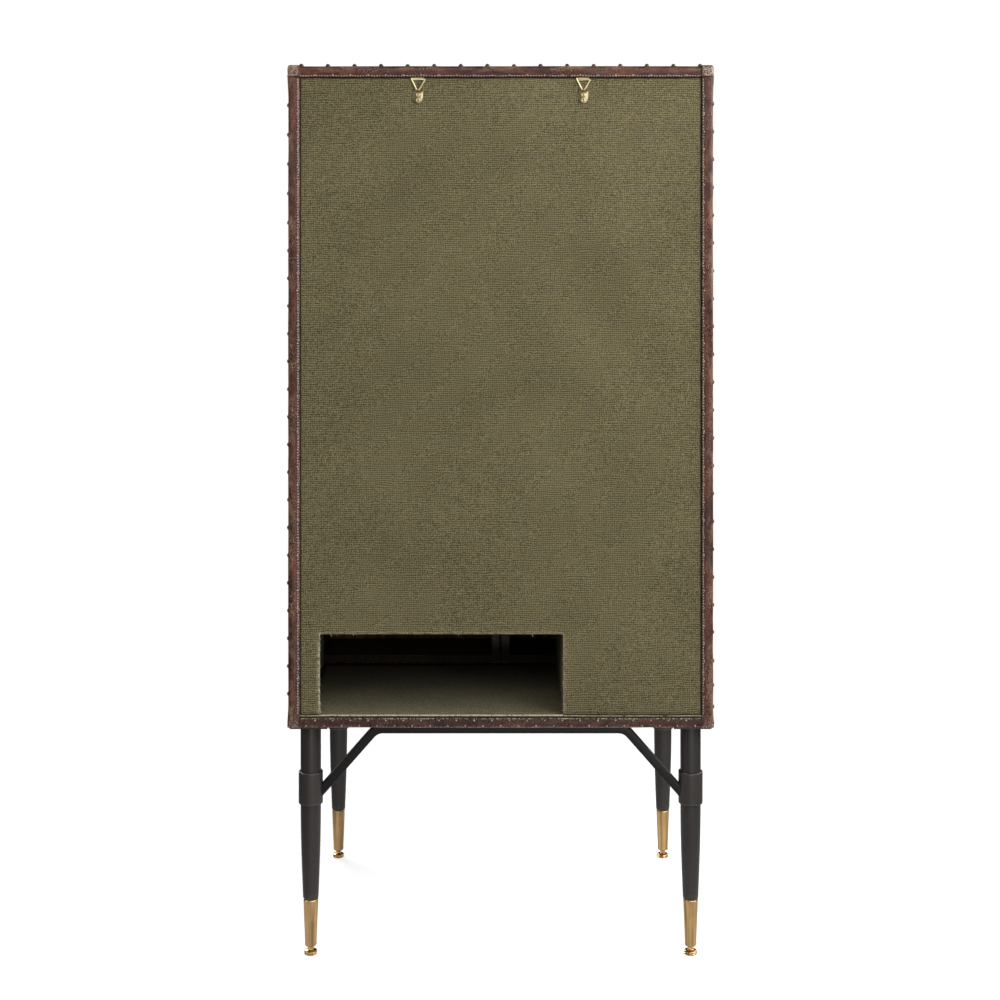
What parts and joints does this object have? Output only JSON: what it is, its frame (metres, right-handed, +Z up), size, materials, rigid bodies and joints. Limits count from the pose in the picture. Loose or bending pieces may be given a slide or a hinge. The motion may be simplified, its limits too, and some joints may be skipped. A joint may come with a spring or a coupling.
{
  "type": "wine cabinet",
  "caption": "Tall leather-covered trunk-style wine cabinet on tapered brass-tipped legs, with deep tray doors, a bottle rack and a canvas back with a cable opening.",
  "frame": {"origin": "on the floor, at the centre of the cabinet's footprint box", "axes": "+Z up, the doors face -Y, the canvas back faces +Y, +X is to the right of a person facing the doors"},
  "size_m": [0.6516, 0.489, 1.342],
  "materials": {
    "brown_leather": "dark reddish brown waxed leather with worn pale edges",
    "olive_canvas": "plain woven olive canvas, matte",
    "lining_canvas": "plain woven olive lining canvas, matte",
    "carcass_wood": "plain sealed board",
    "walnut": "dark stained wood, satin",
    "black_metal": "satin charcoal black powder coat",
    "satin_brass": "satin brushed brass",
    "antique_nail": "dark antique brass",
    "hanger_brass": "bright brass plate",
    "zinc_steel": "zinc plated steel",
    "black_plastic": "matte black"
  },
  "bodies": {
    "cabinet": {"top_board": "carcass_wood", "bottom_board": "carcass_wood", "left_side_board": "carcass_wood", "right_side_board": "carcass_wood", "back_panel": "carcass_wood", "back_canvas": "olive_canvas", "back_cleats": "carcass_wood", "centre_shelf": "lining_canvas", "partition": "lining_canvas", "upper_shelf": "walnut", "shelf_pins": "satin_brass", "stemware_rails": "walnut", "rack_upright": "walnut", "rack_shelves": "walnut", "canvas_lining": "lining_canvas", "top_leather": "brown_leather", "bottom_leather": "brown_leather", "left_side_leather": "brown_leather", "right_side_leather": "brown_leather", "carcass_nails": "antique_nail", "edge_tacks": "antique_nail", "hanger_straps": "hanger_brass", "hanger_screws": "hanger_brass", "stand_plates": "black_metal", "stand_screws": "black_metal", "front_stretcher": "black_metal", "rear_stretcher": "black_metal", "front_left_leg": "black_metal", "front_right_leg": "black_metal", "rear_left_leg": "black_metal", "rear_right_leg": "black_metal", "leg_collars": "black_metal", "leg_ferrules": "satin_brass", "hinge_frame_leaves": "satin_brass", "hinge_pins": "satin_brass", "door_catches": "black_plastic"},
    "left_door": {"left_door_front_board": "carcass_wood", "left_door_tray": "walnut", "left_door_shelves": "walnut", "left_door_rails": "satin_brass", "left_door_leather": "brown_leather", "left_door_nails": "antique_nail", "left_door_pull": "satin_brass", "left_door_hinge_leaves": "satin_brass", "left_door_strike": "zinc_steel"},
    "right_door": {"right_door_front_board": "carcass_wood", "right_door_tray": "walnut", "right_door_shelves": "walnut", "right_door_rails": "satin_brass", "right_door_leather": "brown_leather", "right_door_nails": "antique_nail", "right_door_pull": "satin_brass", "right_door_hinge_leaves": "satin_brass", "right_door_strike": "zinc_steel"},
    "left_hanger_ring": {"left_hanger_ring": "hanger_brass"},
    "right_hanger_ring": {"right_hanger_ring": "hanger_brass"},
    "front_left_leveller": {"front_left_leveller": "satin_brass"},
    "front_right_leveller": {"front_right_leveller": "satin_brass"},
    "rear_left_leveller": {"rear_left_leveller": "satin_brass"},
    "rear_right_leveller": {"rear_right_leveller": "satin_brass"}
  },
  "joints": [
    {"name": "left_door_swing", "type": "hinge", "parent": "cabinet", "child": "left_door", "pos_m": [-0.3218, -0.07205, 0.846], "axis": [0, 0, -1], "range_deg": [0, 170]},
    {"name": "right_door_swing", "type": "hinge", "parent": "cabinet", "child": "right_door", "pos_m": [0.3218, -0.07205, 0.846], "axis": [0, 0, 1], "range_deg": [0, 170]},
    {"name": "left_ring_swing", "type": "hinge", "parent": "cabinet", "child": "left_hanger_ring", "pos_m": [-0.1235, 0.2425, 1.3042], "axis": [-1, 0, 0], "range_deg": [0, 150]},
    {"name": "right_ring_swing", "type": "hinge", "parent": "cabinet", "child": "right_hanger_ring", "pos_m": [0.1235, 0.2425, 1.3042], "axis": [-1, 0, 0], "range_deg": [0, 150]},
    {"name": "front_left_leveller_screw", "type": "slide", "parent": "cabinet", "child": "front_left_leveller", "axis": [0, 0, -1], "range_m": [-0.005, 0.012]},
    {"name": "front_right_leveller_screw", "type": "slide", "parent": "cabinet", "child": "front_right_leveller", "axis": [0, 0, -1], "range_m": [-0.005, 0.012]},
    {"name": "rear_left_leveller_screw", "type": "slide", "parent": "cabinet", "child": "rear_left_leveller", "axis": [0, 0, -1], "range_m": [-0.005, 0.012]},
    {"name": "rear_right_leveller_screw", "type": "slide", "parent": "cabinet", "child": "rear_right_leveller", "axis": [0, 0, -1], "range_m": [-0.005, 0.012]}
  ]
}
